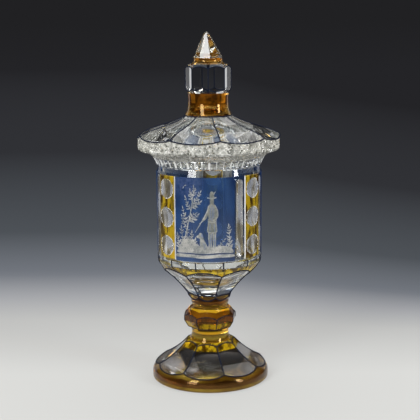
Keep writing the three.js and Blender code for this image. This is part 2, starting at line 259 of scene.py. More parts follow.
class Petals:
    """A turned blank cut with flats: its rows below the toes, on the flats and above the heels."""

    def __init__(self, angles, blank, flats, passes, ridge=GOBLET_RIDGE, sides=GOBLET_PETALS):
        self.angles, self.blank, self.flats = angles, softened(blank, passes), flats
        self.ridge, self.sides = ridge, sides
        self.low, self.high = blank[0, 1], blank[-1, 1]
        self.stretch = flats_stretch(angles, sides, ridge)
        heights = np.linspace(self.low, self.high, 900)
        gap = radius_at(self.blank, heights) - radius_at(flats, heights) * self.stretch[:, None]
        self.toe, self.heel = crossings(heights, gap)

    def below(self, steps):
        """Rows of the blank from its low end to the toes."""
        return rows_between(self.blank, self.low, self.toe, steps)

    def above(self, steps):
        """Rows of the blank from the heels to its high end."""
        return rows_between(self.blank, self.heel, self.high, steps)

    def on_flats(self, steps, *knots):
        """Rows of the flats from toe to heel, with one at each knot's height."""
        stops = [self.toe, *(np.clip(knot, self.toe, self.heel) for knot in knots), self.heel]
        rows = []
        for start, end in zip(stops, stops[1:]):
            rows += rows_between(self.flats, start, end, steps, self.stretch)
        return rows

    def contour(self, toes=True, heels=True):
        """Lines round the toes and the heels and up the ridges, each with whether it closes on itself."""
        lines = []
        for z, wanted in ((self.toe, toes), (self.heel, heels)):
            if wanted:
                lines.append((points_round(self.angles, radius_at(self.flats, z) * self.stretch, z), True))
        corner = 1 / math.cos(math.pi / self.sides)
        for ridge in repeated(self.ridge, self.sides):
            at = np.argmin(abs(away_from(self.angles, ridge)))
            z = np.linspace(self.toe[at], self.heel[at], 25)
            lines.append((points_round(math.radians(ridge), radius_at(self.flats, z) * corner, z), False))
        return lines


# Shader maths


def either_way(operation):
    """A Math node's operation as an operator and its reflected form."""
    return (
        lambda self, other: self.math(operation, self, other),
        lambda self, other: self.math(operation, other, self),
    )


class Signal:
    """A number socket that builds its Math nodes from Python's own operators."""

    def __init__(self, graph, socket):
        self.graph, self.socket = graph, socket

    def math(self, operation, first, second=0.0, clamp=False):
        inputs = {0: first, 1: second}
        return self.graph.node("ShaderNodeMath", inputs, operation=operation, use_clamp=clamp)

    __add__, __radd__ = either_way("ADD")
    __sub__, __rsub__ = either_way("SUBTRACT")
    __mul__, __rmul__ = either_way("MULTIPLY")
    __truediv__, __rtruediv__ = either_way("DIVIDE")
    __pow__, __rpow__ = either_way("POWER")

    def __abs__(self):
        return self.math("ABSOLUTE", self)

    def most(self, other):
        return self.math("MAXIMUM", self, other)

    def clamped(self):
        return self.math("ADD", self, clamp=True)


class Graph:
    """The node tree of a material or world."""

    def __init__(self, owner):
        owner.use_nodes = True
        self.tree = owner.node_tree
        self.tree.nodes.clear()

    def node(self, kind, inputs=None, output=0, **settings):
        """Adds a node: its type, then its settings, then the values or links of its sockets.

        output says which socket is handed on. It may be a tuple of several."""
        made = self.tree.nodes.new(kind)
        for name, value in settings.items():
            if name == "stops":
                self._stops(made.color_ramp.elements, value)
            else:
                setattr(made, name, value)
        for key, value in (inputs or {}).items():
            if isinstance(value, Signal):
                self.tree.links.new(value.socket, made.inputs[key])
            else:
                made.inputs[key].default_value = value
        if isinstance(output, tuple):
            return [Signal(self, made.outputs[key]) for key in output]
        return Signal(self, made.outputs[output]) if made.outputs else None

    def _stops(self, elements, stops):
        """Sets a ramp's stops, each a place from 0 to 1 and a colour."""
        while len(elements) > 1:
            elements.remove(elements[-1])
        for i, (place, colour) in enumerate(stops):
            stop = elements.new(place) if i else elements[0]
            stop.position, stop.color = place, (*colour, 1.0)

    def place(self):
        """Where a point lies on its piece, in metres."""
        return self.node("ShaderNodeTexCoord", output="Object")

    def noise(self, scale, detail=2.0, roughness=0.5, stretch=None):
        place = self.place()
        if stretch:
            place = self.node("ShaderNodeVectorMath", {0: place, 1: stretch}, operation="MULTIPLY")
        inputs = {"Vector": place, "Scale": scale, "Detail": detail, "Roughness": roughness}
        return self.node("ShaderNodeTexNoise", inputs)

    def mix_colour(self, factor, low, high):
        """A colour between two. Those sockets of the node are its seventh and eighth."""
        sides = [end if isinstance(end, Signal) else (*end, 1) for end in (low, high)]
        inputs = {"Factor": factor, 6: sides[0], 7: sides[1]}
        return self.node("ShaderNodeMix", inputs, output=2, data_type="RGBA")

    def surface(self, colour, roughness, **more):
        inputs = {"Base Color": colour, "Roughness": roughness}
        inputs |= {name.replace("_", " "): value for name, value in more.items()}
        return self.node("ShaderNodeBsdfPrincipled", inputs)

    def close(self, surface, kind="ShaderNodeOutputMaterial"):
        self.node(kind, {"Surface": surface})

    def close_glass(self, surface, tint):
        """Lamps shine straight through, tinted, so that what lies behind or under isn't black."""
        shadow = self.node("ShaderNodeLightPath", output="Is Shadow Ray")
        passing = self.node("ShaderNodeBsdfTransparent", {"Color": (*tint, 1)})
        self.close(self.node("ShaderNodeMixShader", {0: shadow, 1: surface, 2: passing}))


# Finishes

GLASS_IOR = 1.52
WHITE = (1.0, 1.0, 1.0)


def glass(
    g, pale, deep, clarity=1.0, streak=28.0, contrast=3.2, stretch=(1, 1, 1), haze=0.0, gloss=WHITE,
    cloud=None, shade=1.0,
):
    """Polished glass: a stain between two colours, faint striae and wipe marks.

    stretch squeezes the streaks of the stain along each axis. haze is the roughness between the marks.
    gloss is the colour of what the surface mirrors. cloud is the middle, reach and colour of a paler
    spot of painted light. shade is the share of the lamps' light that is let through."""
    streaks = (g.noise(streak, 3.0, stretch=stretch) - 0.5) * contrast + 0.5
    colour = g.mix_colour(streaks.clamped(), pale, deep)
    # A paler spot of painted light, mottled by noise
    if cloud:
        middle, reach, tone = cloud
        away = g.node("ShaderNodeVectorMath", {0: g.place(), 1: middle}, output=1, operation="DISTANCE")
        painted_glow_mask = (1.0 - away / reach) * ((g.noise(420.0, 4.0, 0.7) - 0.35) * 4.5)
        colour = g.mix_colour(painted_glow_mask.clamped(), colour, tone)
    polish = (g.noise(140.0, 4.0, 0.6) - 0.55).most(0.0) * 0.12 + haze
    bump = g.node("ShaderNodeBump", {"Strength": 1.0, "Distance": 0.00003, "Height": g.noise(55.0, 2.0)})
    surface = g.surface(
        colour, polish, IOR=GLASS_IOR, Transmission_Weight=clarity, Specular_Tint=(*gloss, 1), Normal=bump
    )
    g.close_glass(surface, (np.array(pale) + deep) / 2 * shade)


def stained(colour, deep, pale=1.0, **settings):
    """Glass of one of the goblet's colours. deep names its colour where it is thick, or is the share left."""

    def build(g):
        colours = bpy.context.scene.goblet_colours
        own = np.array(getattr(colours, colour))
        thick = np.array(getattr(colours, deep)) if isinstance(deep, str) else own * deep
        glass(g, own * pale, thick, **settings)

    return build


def cutting_with_painted_sparkle(g, light):
    """Crossed fine cuts of the flange with painted sparkle: bright points of many tones, painted dark specks
    between some of them, and light below one for painted shade.
    """
    inputs = {"Vector": g.place(), "Scale": 310.0, "Randomness": 0.7}
    painted_speck_distance = g.node("ShaderNodeTexVoronoi", inputs, output="Distance")
    dark = ((0.33 - painted_speck_distance) * 8.0).clamped() * ((g.noise(420.0) - 0.4) * 12.0).clamped()
    pale, deep = np.array(((0.97, 0.96, 0.88), (0.34, 0.34, 0.3))) * light
    tone = g.mix_colour(((g.noise(230.0, 3.0) - 0.4) * 4.0).clamped(), pale, deep)
    colour = g.mix_colour(dark, tone, (0.05, 0.05, 0.03))
    surface = g.surface(colour, 0.02 + g.noise(90.0) * 0.1, IOR=GLASS_IOR, Transmission_Weight=0.62)
    g.close_glass(surface, (pale + deep) / 2)


def joint(g):
    """The hidden face where two gathers are one glass: it doesn't bend light at all."""
    g.close(g.node("ShaderNodeBsdfTransparent"))


def enamel(g):
    """Dark enamel of the drawn contour lines."""
    own = bpy.context.scene.goblet_colours.enamel
    colour = g.mix_colour(g.noise(400.0, 3.0), own, [v * 2.2 for v in own])
    g.close(g.surface(colour, 0.55 + g.noise(900.0) * 0.2, IOR=1.3, Specular_IOR_Level=0.1))


def matt_cutting(g, dark, light):
    """Wheel-cut glass left unpolished: matt, with the marks of the wheel."""
    marks = g.noise(700.0, 4.0, 0.65)
    colour = g.mix_colour(((marks + g.noise(150.0, 2.0)) * 2.4 - 1.9).clamped(), dark, light)
    bump = g.node("ShaderNodeBump", {"Strength": 0.5, "Distance": 0.0002, "Height": marks})
    g.close(g.surface(colour, 0.55 + marks * 0.3, IOR=1.5, Normal=bump))


def deep_cutting(g):
    """Deeper strokes of the wheel, where the blue shows through."""
    colour = g.mix_colour(g.noise(700.0, 3.0), (0.06, 0.1, 0.2), (0.14, 0.18, 0.28))
    g.close(g.surface(colour, 0.5, IOR=1.5))


# The studio's paper: tones from 0 to 255 at distances in metres, painted light for the pool of lamplight
# round the goblet and its falloff, how far back to the sides and front it stays even, and where and how much
# the lamps light it
PAPER_PAINTED_LIGHT_TONES = (
    (0.0, (204, 204, 201)),
    (0.19, (183, 183, 181)),
    (0.29, (158, 159, 162)),
    (0.42, (109, 113, 120)),
    (0.71, (75, 79, 84)),
    (1.8, (49, 50, 54)),
    (7.0, (36, 36, 39)),
)
EVEN_SIDES = 0.35
EVEN_FRONT = 0.5
LIT_REACH = 2.5
LIT_SHARE = 0.35


def srgb(levels):
    """Linear colour of an sRGB one given from 0 to 255."""
    return tuple((v / 255) / 12.92 if v <= 10 else (((v / 255) + 0.055) / 1.055) ** 2.4 for v in levels)


def paper(g):
    """Pale paper that glows with a painted pool of light, falling off to dark behind and to the sides, with
    painted shadow that makes it fall off sooner on the right.
    """
    place = g.node("ShaderNodeNewGeometry", output="Position")
    x, y = g.node("ShaderNodeSeparateXYZ", {0: place}, output=("X", "Y"))
    sideways = (abs(x) - EVEN_SIDES).most(0.0)
    front = (y * -1.0 - EVEN_FRONT).most(0.0)
    # Painted shadow: behind the goblet the tone falls off sooner on the right
    back = y.most(0.0) * (x.most(0.0) * 1.5 + 1.0)
    far = (sideways * sideways + front * front + back * back) ** 0.5
    reach = PAPER_PAINTED_LIGHT_TONES[-1][0]
    stops = [(distance / reach, srgb(tone)) for distance, tone in PAPER_PAINTED_LIGHT_TONES]
    shade = g.node("ShaderNodeValToRGB", {0: far / reach}, stops=stops)
    # The paper glows with its tone: painted light
    shown = g.node("ShaderNodeEmission", {"Color": shade, "Strength": 1.0})
    lit = g.surface(shade, 1.0, Specular_IOR_Level=0.0)
    near = (1.0 - far / LIT_REACH).clamped() * LIT_SHARE
    g.close(g.node("ShaderNodeMixShader", {0: near, 1: shown, 2: lit}))


# Streaks that run up a piece or lie across it, the golden sheen of the stain, and the paler spot of painted
# light at the upper left of the front panel
UPRIGHT = (1.6, 1.6, 0.45)
LEVEL = (0.4, 0.4, 2)
GOLDEN = (0.9, 0.62, 0.3)
BOWL_RADIUS = 49.0
PANEL_BOTTOM = 39.8
PANEL_TOP = 117.55
BOWL_BASE = span("bowl")[0]
PAINTED_GLOW_MIDDLE = points_round(math.radians(PANEL_ANGLE - 20), BOWL_RADIUS, BOWL_BASE + PANEL_TOP - 4) * MM

FINISHES = {
    CLEAR: stained("clear", 0.985),
    # The fire-polished inside of the cover, a little less even than the cut outside
    "cover_inside": stained("clear", 0.94, streak=60.0, haze=0.1),
    "straw_glass": stained("straw", 0.97),
    # Thick clear glass of the foot, a little grey and partly darkened as painted shade, and its underside,
    # hazed by years of standing and darker still as painted shade for the floor under the foot
    "foot_clear": stained("foot_grey_and_painted_shade", 0.95, shade=0.6),
    "foot_underside_painted_shade": stained("foot_grey_and_painted_shade", 0.3, pale=0.4, haze=0.15, shade=0.6),
    # Stain on the foot, where it runs from gold to brown
    "amber_stain": stained(
        "amber", "deep_amber", clarity=0.88, streak=45.0, contrast=4.0, haze=0.08, gloss=GOLDEN
    ),
    # Glass of the stem, and the red-brown one of its knop and of the groove under the ring
    "amber_gather": stained("stem", (0.75, 0.6, 0.5), clarity=0.97, streak=70.0, stretch=LEVEL, gloss=GOLDEN),
    "amber_knop": stained("knop", (0.6, 0.5, 0.5), clarity=0.95, streak=70.0, stretch=LEVEL, gloss=GOLDEN),
    # Stain on the columns and the cone's band, thick enough to show its own colour in front light
    "amber_relief": stained(
        "relief", "deep_relief", clarity=0.65, streak=110.0, contrast=6.0, stretch=UPRIGHT, gloss=GOLDEN
    ),
    # The deep brown stain on the edge of the foot and the sides of the knop
    "amber_rim": stained("rim", 0.4, clarity=0.9, streak=50.0, haze=0.12, gloss=(0.6, 0.36, 0.16)),
    # The orange stain of the cover's neck and of the ring under its spire
    "amber_neck": stained("neck", 0.16, clarity=0.9, streak=95.0, contrast=7.0, gloss=GOLDEN),
    # The blue layer carries a paler spot of painted light at the upper left of the front panel
    "blue_layer": stained("blue", "deep_blue", clarity=0.55, cloud=(PAINTED_GLOW_MIDDLE, 0.02, (0.1, 0.15, 0.33))),
    # Lens cuts and flutes, white with amber streaks as painted light from the bright surroundings they
    # refract
    "lens_cut_painted_light": partial(
        glass, pale=WHITE, deep=(0.34, 0.28, 0.16), clarity=0.8, streak=70.0, contrast=8.0, stretch=UPRIGHT
    ),
    # Narrow bevels, rims of the lens cuts and crests of the collar's flutes, painted white as highlight lines
    "painted_highlight_edge": partial(glass, pale=(0.96, 0.95, 0.93), deep=(0.92, 0.92, 0.92), clarity=0.35),
    # Painted sparkle on the flange, and on its underside the same made darker as painted shade
    "flange_painted_sparkle": partial(cutting_with_painted_sparkle, light=1.0),
    "flange_underside_painted_sparkle_and_shade": partial(cutting_with_painted_sparkle, light=0.6),
    FUSED: joint,
    "line_enamel": enamel,
    "frosted_cut": partial(matt_cutting, dark=(0.13, 0.14, 0.14), light=(0.35, 0.34, 0.31)),
    "half_cut": partial(matt_cutting, dark=(0.07, 0.08, 0.075), light=(0.2, 0.2, 0.17)),
    "deep_cut": deep_cutting,
    "studio_paper": paper,
}


def finish(name):
    """The finish of that name, built the first time that a piece asks for it."""
    made = bpy.data.materials.get(name)
    if not made:
        made = bpy.data.materials.new(name)
        FINISHES[name](Graph(made))
    return made


# Foot and stem

FOOT = {"edge": 1.8, "rim": 5.4, "inset": 3.1, "shoulder": 12.3, "swell": 4.0, "top_radius": 19.8}
FOOT_PETAL_HOLLOW = 8.0
FOOT_STAIN_HEIGHT = 30.5
FOOT_GOLD_HEIGHT = 4.0
LOWER_STEM_TOP = 19.4
LOWER_STEM_BOW = 3.6
STEM_KNOP = {"corner": 25.4, "seat": 20.0, "top": 17.4, "bevel": 6.3, "girdle": 4.2}
RING = {"radius": 18.3, "straight": 7.3, "top_radius": 22.3, "groove": 1.5, "groove_radius": 16.8}
CONE_PETAL = {"bottom": 19.9, "top": (46.0, 27.85), "hollow": 4.0, "tail": 5.9}


def foot_petals(angles):
    base, top, radius = span("foot")
    shoulder = (radius - FOOT["inset"], base + FOOT["shoulder"])
    blank = joined(
        bowed((radius, base + FOOT["rim"]), shoulder, FOOT["inset"] / 2, steps=12),
        bowed(shoulder, (FOOT["top_radius"], top), FOOT["swell"])[1:],
    )
    toe = (radius + OVERRUN, shoulder[1] - OVERRUN)
    heel = (FOOT["top_radius"] - FUSED_GAP, top + OVERRUN)
    return Petals(angles, blank, bowed(toe, heel, -FOOT_PETAL_HOLLOW, steps=60), 12)


def make_foot():
    base, top, radius = span("foot")
    petals = foot_petals(turn_angles(320, GOBLET_RIDGE))
    foot = Turning(petals.angles)
    # Underside, darkened as painted shade
    foot.path([(radius * share, base) for share in (0, 0.25, 0.5, 0.75, 0.95)], "foot_underside_painted_shade")
    edge = curve((radius - FOOT["edge"], base), (radius, base), (radius, base + FOOT["edge"]), steps=5)
    foot.path(edge[:4], "amber_rim")
    foot.path([*edge[4:], (radius, base + FOOT_GOLD_HEIGHT)], "amber_stain")
    below = petals.below(10)
    foot.path(below[:6], "amber_rim")
    foot.path(below[6:], "amber_stain")
    stain = base + FOOT_STAIN_HEIGHT
    for radii, heights in petals.on_flats(40, stain):
        foot.row(radii, heights, "amber_relief" if heights.min() > stain else "foot_clear")
    foot.path(petals.above(8), "amber_relief")
    foot.end(FOOT["top_radius"], top)
    foot.make("foot", "goblet", "foot_glass")


def make_lower_stem():
    base, top, _ = span("lower_stem")
    stem = Turning(turn_angles(160))
    stem.start(FOOT["top_radius"], base)
    side = bowed((FOOT["top_radius"], base), (LOWER_STEM_TOP, top), -LOWER_STEM_BOW, steps=20)
    stem.path(side[1:], "amber_gather")
    stem.end(LOWER_STEM_TOP, top)
    stem.make("lower_stem", "goblet", "amber_glass")


def stem_knop_petals(angles):
    base, top, _ = span("stem_knop")
    corner = STEM_KNOP["corner"]
    flat = corner * math.cos(math.pi / GOBLET_PETALS)
    bevel = base + STEM_KNOP["bevel"]
    shoulder = bevel + STEM_KNOP["girdle"]
    blank = joined(
        (corner + 1.2, base),
        (corner + 0.5, shoulder - 1),
        (corner - 0.3, shoulder + 0.6),
        (flat, shoulder + 2.6),
        (STEM_KNOP["top"] + 3.2, top - 3),
        (STEM_KNOP["top"], top),
    )
    return Petals(angles, blank, joined((STEM_KNOP["seat"], base), (flat, bevel), (flat, top + 1)), 10)


def make_stem_knop():
    base, top, _ = span("stem_knop")
    petals = stem_knop_petals(turn_angles(256, GOBLET_RIDGE))
    knop = Turning(petals.angles)
    knop.start(LOWER_STEM_TOP, base)
    knop.row(STEM_KNOP["seat"] * petals.stretch, base, "amber_gather")
    flats = petals.on_flats(6, base + STEM_KNOP["bevel"])
    knop.path(flats[:6], "amber_relief")
    knop.path(flats[6:], "amber_knop")
    above = petals.above(8)
    knop.path(above[:5], "amber_rim")
    knop.path(above[5:], "amber_gather")
    knop.row(RING["groove_radius"], top, "amber_knop")
    knop.end(RING["groove_radius"], top)
    knop.make("stem_knop", "goblet", "amber_glass")


def cone_flats():
    """Profile of the petals of the cone, down to where they run out on the ring."""
    waist = np.array((CONE_PETAL["bottom"], BOWL_BASE))
    head = np.array((CONE_PETAL["top"][0], BOWL_BASE + CONE_PETAL["top"][1]))
    past = head + (head - waist) / np.hypot(*(head - waist)) * OVERRUN
    tail = BOWL_BASE - CONE_PETAL["tail"]
    return joined(
        (RING["radius"] + 30, tail - 0.5),
        (RING["radius"] + FUSED_GAP, tail),
        bowed(waist, past, -CONE_PETAL["hollow"], steps=60),
        (past[0] + 30, past[1] + 1),
    )


def ring_petals(angles):
    base, top, _ = span("upper_stem")
    groove, groove_top = RING["groove_radius"], base + RING["groove"]
    blank = joined(
        (groove, base),
        (groove, groove_top),
        (groove + 0.9, groove_top + 0.9),
        (RING["radius"] - 0.1, groove_top + 3),
        (RING["radius"], base + RING["straight"]),
        (RING["top_radius"], top),
    )
    return Petals(angles, blank, cone_flats(), 3)


def make_upper_stem():
    base, top, _ = span("upper_stem")
    petals = ring_petals(turn_angles(256, GOBLET_RIDGE))
    ring = Turning(petals.angles)
    ring.start(RING["groove_radius"], base)
    below = petals.below(14)
    ring.path(below[:5], "amber_gather")
    ring.path(below[5:], "amber_rim")
    ring.path(petals.on_flats(6), "amber_stain")
    ring.end(CONE_PETAL["bottom"], top)
    ring.make("upper_stem", "goblet", "amber_glass")


# Bowl

BOWL_INNER_RADIUS = 43.4
BOWL_FLOOR = 14.0
BOWL_FLOOR_ROUND = 26.0
SHOULDER = {"top": 38.8, "band": 6.5, "radius": 49.8}
COLLAR = {"bottom": 124.8, "foot_radius": 49.6, "radius": 52.7, "flutes": 48, "depth": 1.5}
TOP_BAND_LEAN = 1.15
PROUD = 0.8
PRINTIES = {"count": 3, "pitch": 26.6, "radius": 28.0, "depth": 1.6, "rim": 0.13, "squeeze": 0.76}
FLUTE = {"radius": 7.0, "depth": 1.3}
SEAT_GAP = 0.05
TOUCH = 1e-4


def hollow_radius(off, rise, reach, radius):
    """Radius of the near side of a ball or rod that lies at reach from the axis, or infinity past it."""
    inside = radius**2 - rise**2 - (reach * np.sin(off)) ** 2
    hit = reach * np.cos(off) - np.sqrt(np.maximum(inside, 0))
    return np.where((inside > 0) & (abs(off) < 1), hit, np.inf)


def hollow_half_height(off, reach, radius, surface):
    """Half the height of a ball's cut in an upright wall, at each angle off its middle."""
    square = radius**2 - (reach * np.sin(off)) ** 2 - (reach * np.cos(off) - surface) ** 2
    return np.where(abs(off) < 1, np.sqrt(np.maximum(square, 0)), 0)


def near(angles, centres, half):
    """Which angles lie within half an angle of any of the centres, both in degrees."""
    reach = math.radians(half) + 1e-6
    return np.any([abs(away_from(angles, centre)) <= reach for centre in centres], axis=0)


class BowlWall:
    """The upright wall: standing columns with oval lens cuts, and flutes beside the panels."""

    bottom, top = BOWL_BASE + PANEL_BOTTOM, BOWL_BASE + PANEL_TOP
    outside = BOWL_RADIUS + PROUD

    def __init__(self, angles):
        self.angles = angles
        self.panels = repeated(PANEL_ANGLE, PANEL_COUNT)
        self.columns = repeated(PANEL_ANGLE + 180 / PANEL_COUNT, PANEL_COUNT)
        self.columns[-1] += LEFT_COLUMN_SHIFT
        beside = PANEL_HALF + FLUTE_GAP
        self.flutes = [middle + side * beside for side in (-1, 1) for middle in self.panels]
        self.flutes[0] = self.columns[-1] - COLUMN_HALF - FLUTE_GAP
        self.flute_reach = BOWL_RADIUS + FLUTE["radius"] - FLUTE["depth"]
        middle, half = (self.bottom + self.top) / 2, (PRINTIES["count"] - 1) / 2
        self.printies = [middle + (i - half) * PRINTIES["pitch"] for i in range(PRINTIES["count"])]
        self.printie_reach = self.outside + PRINTIES["radius"] - PRINTIES["depth"]

    def radius(self, angles, heights):
        """Radius of the wall at each angle, for a row of heights."""
        standing = near(angles, self.columns, COLUMN_HALF) & (heights > self.bottom) & (heights < self.top)
        found = np.where(standing, self.outside, BOWL_RADIUS)
        for centre in self.columns:
            off = away_from(angles, centre) * PRINTIES["squeeze"]
            for z in self.printies:
                cut = hollow_radius(off, heights - z, self.printie_reach, PRINTIES["radius"])
                found = np.minimum(found, cut)
        rise = heights - np.clip(heights, self.bottom + FLUTE["radius"], self.top - FLUTE["radius"])
        for centre in self.flutes:
            cut = hollow_radius(away_from(angles, centre), rise, self.flute_reach, FLUTE["radius"])
            found = np.minimum(found, cut)
        return found

    def heights(self, steps):
        """Heights of the rows up the wall, pulled onto the rims of the oval cuts that they pass."""
        levels = np.linspace(self.bottom, self.top, steps + 1)
        heights = np.repeat(levels[:, None], len(self.angles), axis=1)
        for centre in self.columns:
            off = away_from(self.angles, centre) * PRINTIES["squeeze"]
            half = hollow_half_height(off, self.printie_reach, PRINTIES["radius"], self.outside)
            for z in self.printies:
                for rim in (z + half, z - half):
                    for j in np.flatnonzero(half > 0):
                        i = np.argmin(abs(levels - rim[j]))
                        if 0 < i < steps:
                            heights[i, j] = rim[j]
        return heights

    def finishes(self, heights):
        """Finish of each face of the row whose middle lies at these heights."""
        step = FULL_TURN / len(self.angles)
        middles = self.angles + step / 2
        radius = self.radius(middles, heights)
        standing = near(middles, self.columns, COLUMN_HALF)
        whole = radius > self.outside - TOUCH
        rim = standing & ~whole & (radius > self.outside - PRINTIES["rim"])
        beside = near(middles, self.columns, COLUMN_HALF + math.degrees(step)) & ~standing
        edge = beside & (heights > self.bottom) & (heights < self.top)
        cut = (radius < BOWL_RADIUS - TOUCH) | standing
        # Column edges and lens rims get painted highlight lines, and cut faces get painted light
        where = [near(middles, self.panels, PANEL_HALF), standing & whole, edge | rim, cut]
        return np.select(where, [FUSED, "amber_relief", "painted_highlight_edge", "lens_cut_painted_light"], CLEAR)


def cone_petals(angles):
    wall_start = BOWL_BASE + SHOULDER["top"]
    band_start = wall_start - SHOULDER["band"]
    blank = joined(
        bowed((23.5, BOWL_BASE), (43.2, BOWL_BASE + 23), 2.5),
        (47.2, band_start - 2.2),
        (SHOULDER["radius"] - 0.3, band_start + 0.8),
        (SHOULDER["radius"], wall_start - 0.4),
        (BOWL_RADIUS, wall_start + 0.4),
    )
    return Petals(angles, blank, cone_flats(), 3)


def make_bowl():
    base, top, _ = span("bowl")
    angles = turn_angles(480, GOBLET_RIDGE)
    petals = cone_petals(angles)
    bowl = Turning(angles)
    foot = radius_at(petals.flats, base) * petals.stretch
    bowl.path([(0, base), (CONE_PETAL["bottom"] / 2, base), (foot, base)], FUSED)
    bowl.path(petals.on_flats(24))
    band_start = base + SHOULDER["top"] - SHOULDER["band"]
    bowl.path(rows_between(petals.blank, petals.heel, band_start, 5), "amber_relief")
    bowl.path(rows_between(petals.blank, band_start, petals.high, 8))
    wall = BowlWall(angles)
    heights = wall.heights(96)
    bowl.row(wall.radius(angles, heights[0]), heights[0])
    for low, high in zip(heights, heights[1:]):
        bowl.row(wall.radius(angles, high), high, wall.finishes((low + high) / 2))
    collar_start = base + COLLAR["bottom"]
    bowl.path([
        (BOWL_RADIUS - TOP_BAND_LEAN, collar_start - 1.2),
        (COLLAR["foot_radius"], collar_start - 0.3),
        (COLLAR["foot_radius"], collar_start + 0.5),
    ])
    rim = top - SEAT_GAP
    crest = abs(2 * (angles * COLLAR["flutes"] / FULL_TURN % 1) - 1)
    # Crests of the collar's flutes carry painted white highlight lines
    kinds = np.where(crest > 0.8, "painted_highlight_edge", CLEAR)
    flare = bowed((COLLAR["foot_radius"], collar_start + 0.5), (COLLAR["radius"], rim - 0.5), -0.6, steps=8)
    for radius, height in flare[1:]:
        bowl.row(radius - COLLAR["depth"] * (1 - crest), height, kinds)
    inner, floor = BOWL_INNER_RADIUS, base + BOWL_FLOOR
    bowl.path([(COLLAR["radius"] - 1.4, rim), (inner + 0.6, rim), (inner, rim - 0.6)])
    bowl.row(inner, (rim + floor) / 2)
    bowl.path(curve((inner, floor + BOWL_FLOOR_ROUND), (inner, floor), (0, floor), steps=20))
    bowl.make("bowl", "goblet", "cut_glass")


def make_panels():
    """Each panel is a curved plate. Its back is fused to the bowl."""
    offs = np.radians(np.linspace(-PANEL_HALF, PANEL_HALF, 47))
    heights = np.linspace(BowlWall.bottom, BowlWall.top, 41)[:, None]
    grid = np.arange(len(heights) * len(offs)).reshape(len(heights), -1)
    edge = np.concatenate([grid[0, :-1], grid[:-1, -1], grid[-1, :0:-1], grid[::-1, 0]])
    back = quads(grid.T)
    shown = quads(grid + grid.size) + quads(np.array([edge, edge + grid.size]))
    kinds = [FUSED] * len(back) + ["blue_layer"] * len(shown)
    names = ("blue_panel_front", "blue_panel_right", "blue_panel_left")
    for name, middle in zip(names, repeated(PANEL_ANGLE, PANEL_COUNT)):
        turns = math.radians(middle) + offs
        sheets = [points_round(turns, radius, heights) for radius in (BOWL_RADIUS, BowlWall.outside)]
        piece = mesh_object(name + "_glass", np.reshape(sheets, (-1, 3)), back + shown, kinds)
        dress(piece, "goblet", "blue_glass", name)


# Cover

LIP = {"clearance": 0.9, "wall": 4.0, "depth": 8.0, "edge": 0.6}
FLANGE = {"seat": 53.0, "under": (65.5, 6.05), "hollow": 2.3, "edge": (8.2, 19.6), "top": (65.3, 21.6)}
DOME_BLANK_TOP = 25.0
DOME_PETAL = {"toe": 15.95, "outer": (51.0, 29.2), "inner": (34.0, 27.55), "heel": (20.6, 37.85)}
DOME_CAVITY = {"foot": 14.5, "hollow": 3.5, "top_radius": 11.0}
DIAMOND = {"count": 120, "depth": 1.1, "pitch": 3.4, "fade": 0.8}
NECK_TOP = 19.2
NECK_HOLLOW = 9.5
COVER_KNOP = {"corner": 21.3, "end": 18.3, "bevel": 4.6}
SPIRE = {"flare": 15.5, "neck": 13.2, "neck_height": 5.4, "radius": 13.9, "tip": 2.5, "tip_height": 1.6}
SPIRE_LEAN = 1.4
COVER_SEAT = span("bowl")[1]


def on_seat(point):
    """A point of a profile whose height is given from the cover's seat."""
    return point[0], COVER_SEAT + point[1]


def dome_flats():
    """Profile of the dome's petals, hollow by the neck and full by the flange."""
    radius = span("cover_dome")[2]
    toe = (radius + OVERRUN, COVER_SEAT + DOME_PETAL["toe"])
    outer, inner, heel = (on_seat(DOME_PETAL[end]) for end in ("outer", "inner", "heel"))
    flat = curve(toe, outer, inner, heel, steps=80)
    return joined((radius + 30, toe[1] - 0.5), flat, (heel[0] + 30, heel[1] + 0.5))


def diamond_cut(angles, heights):
    """Depth of the flange's crossed V cuts: nought on the points of the diamonds."""
    turn, rise = angles * DIAMOND["count"] / FULL_TURN, heights / DIAMOND["pitch"]
    waves = [abs((phase % 1) * 2 - 1) for phase in (turn + rise, turn - rise)]
    return DIAMOND["depth"] * (1 - np.minimum(*waves))


def dome_petals(angles):
    _, top, radius = span("cover_dome")
    edge = [on_seat((radius, height)) for height in FLANGE["edge"]]
    blank = joined(edge, on_seat(FLANGE["top"]), (DOME_BLANK_TOP, top))
    return Petals(angles, blank, dome_flats(), 3, COVER_RIDGE, COVER_PETALS)


